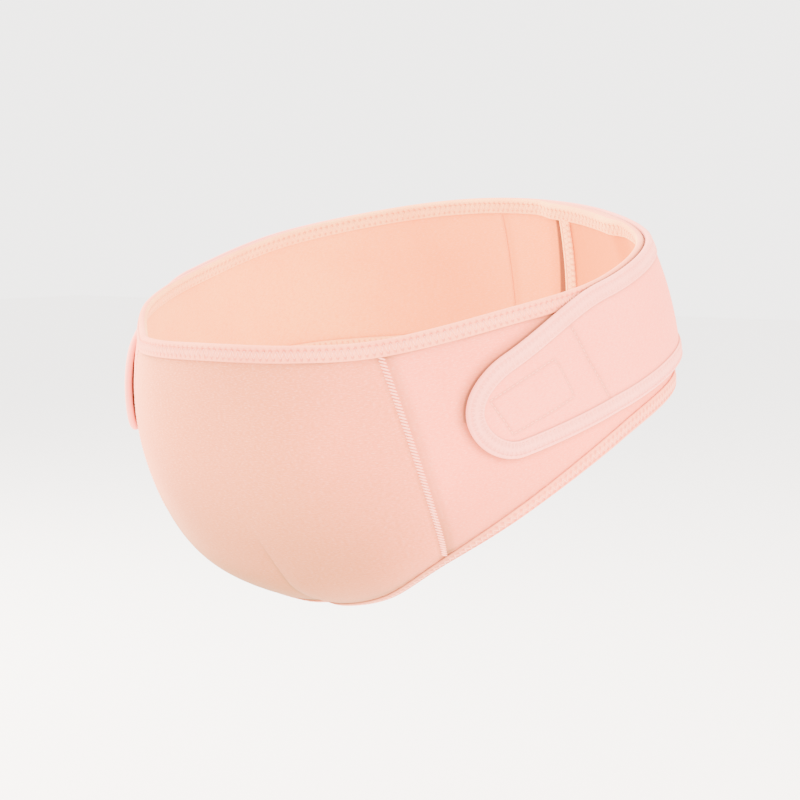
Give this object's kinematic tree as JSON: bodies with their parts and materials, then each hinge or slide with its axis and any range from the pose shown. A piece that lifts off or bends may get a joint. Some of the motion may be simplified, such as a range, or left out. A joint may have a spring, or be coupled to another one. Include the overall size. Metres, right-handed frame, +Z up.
{
  "type": "maternity support belt",
  "caption": "Soft cupped belt that carries a pregnant belly and wraps round the back, with tapered side tabs that fasten onto its wings.",
  "frame": {"origin": "point on the body's axis that the belt is worn round, 45 mm below the front of the upper edge", "axes": "+Z up, -Y the way the wearer faces, +X the wearer's left"},
  "size_m": [0.3464, 0.3247, 0.2449],
  "materials": {
    "belly_fabric": "fine matt brushed cloth",
    "wing_fabric": "fine matt brushed cloth",
    "edge_binding": "soft folded tape with stitched zigzag rows",
    "band_fabric": "fine matt brushed cloth",
    "band_binding": "soft folded tape",
    "fastening_patch": "hook-and-loop patch"
  },
  "bodies": {
    "root": {"belly_panel": "belly_fabric", "wing_left": "wing_fabric", "wing_right": "wing_fabric", "rim_binding": "edge_binding", "hem_binding": "edge_binding", "back_end_binding": "edge_binding", "support_band": "band_fabric", "support_band_binding": "band_binding", "fastening_patch_left": "fastening_patch", "fastening_patch_right": "fastening_patch"}
  },
  "joints": []
}
